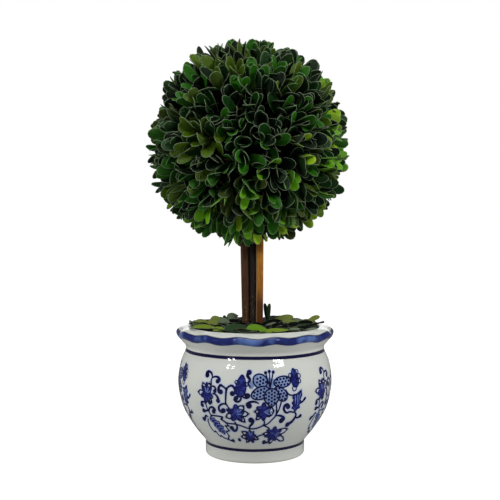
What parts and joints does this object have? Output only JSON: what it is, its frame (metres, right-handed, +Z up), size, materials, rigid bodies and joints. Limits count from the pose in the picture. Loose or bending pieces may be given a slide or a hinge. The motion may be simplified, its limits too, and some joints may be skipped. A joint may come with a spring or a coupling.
{
  "type": "potted box topiary ball",
  "caption": "Ball of clipped box foliage on three cut sticks, standing in a round ceramic pot with a lobed rim, a narrow neck, a painted scroll pattern and leaf litter.",
  "frame": {"origin": "centre of the pot's flat underside, on the surface that it stands on", "axes": "+Z up along the pot's axis, -Y towards the front, which is the side the picture shows, +X to the viewer's right"},
  "size_m": [0.1856, 0.1846, 0.3814],
  "materials": {
    "glazed_pot": "gloss",
    "filling_foam": "matte",
    "stick_brown": "matte",
    "stick_dark": "matte",
    "stick_golden": "satin",
    "litter_leaf": "matte",
    "box_leaf": "satin"
  },
  "bodies": {
    "root": {"pot": "glazed_pot", "potting_foam": "filling_foam", "stick_left": "stick_brown", "stick_middle": "stick_dark", "stick_right": "stick_golden", "leaf_litter": "litter_leaf", "foliage_ball": "box_leaf"}
  },
  "joints": []
}
